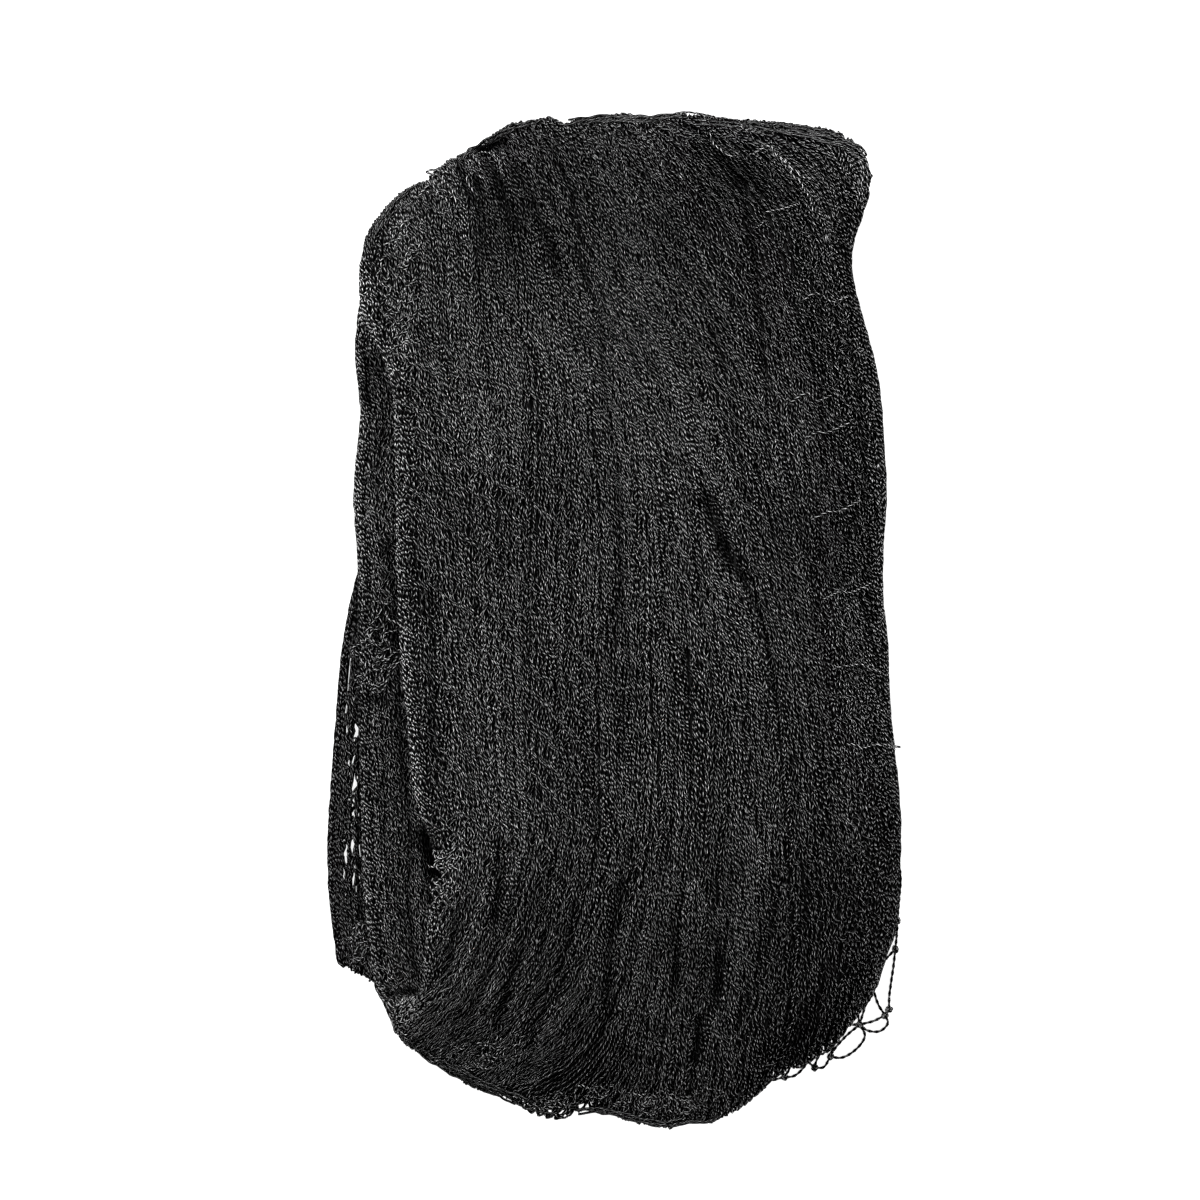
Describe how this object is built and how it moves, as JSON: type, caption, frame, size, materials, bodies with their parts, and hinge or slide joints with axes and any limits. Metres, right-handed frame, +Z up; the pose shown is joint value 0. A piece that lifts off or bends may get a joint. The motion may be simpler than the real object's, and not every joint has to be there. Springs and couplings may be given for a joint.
{
  "type": "bird netting",
  "caption": "Netting of thin twisted cord, gathered into a thick band and folded back and forth into a long flat bundle, with a few open meshes loose at one corner.",
  "frame": {"origin": "middle of the bundle's box, on the surface that it rests on", "axes": "+X across the gathered cords, +Y along the cords towards the end where the top run turns under, +Z up"},
  "size_m": [0.1734, 0.3052, 0.0501],
  "materials": {
    "black_cord": "matte twisted plastic cord with a faint sheen"
  },
  "bodies": {
    "root": {"net": "black_cord"}
  },
  "joints": []
}
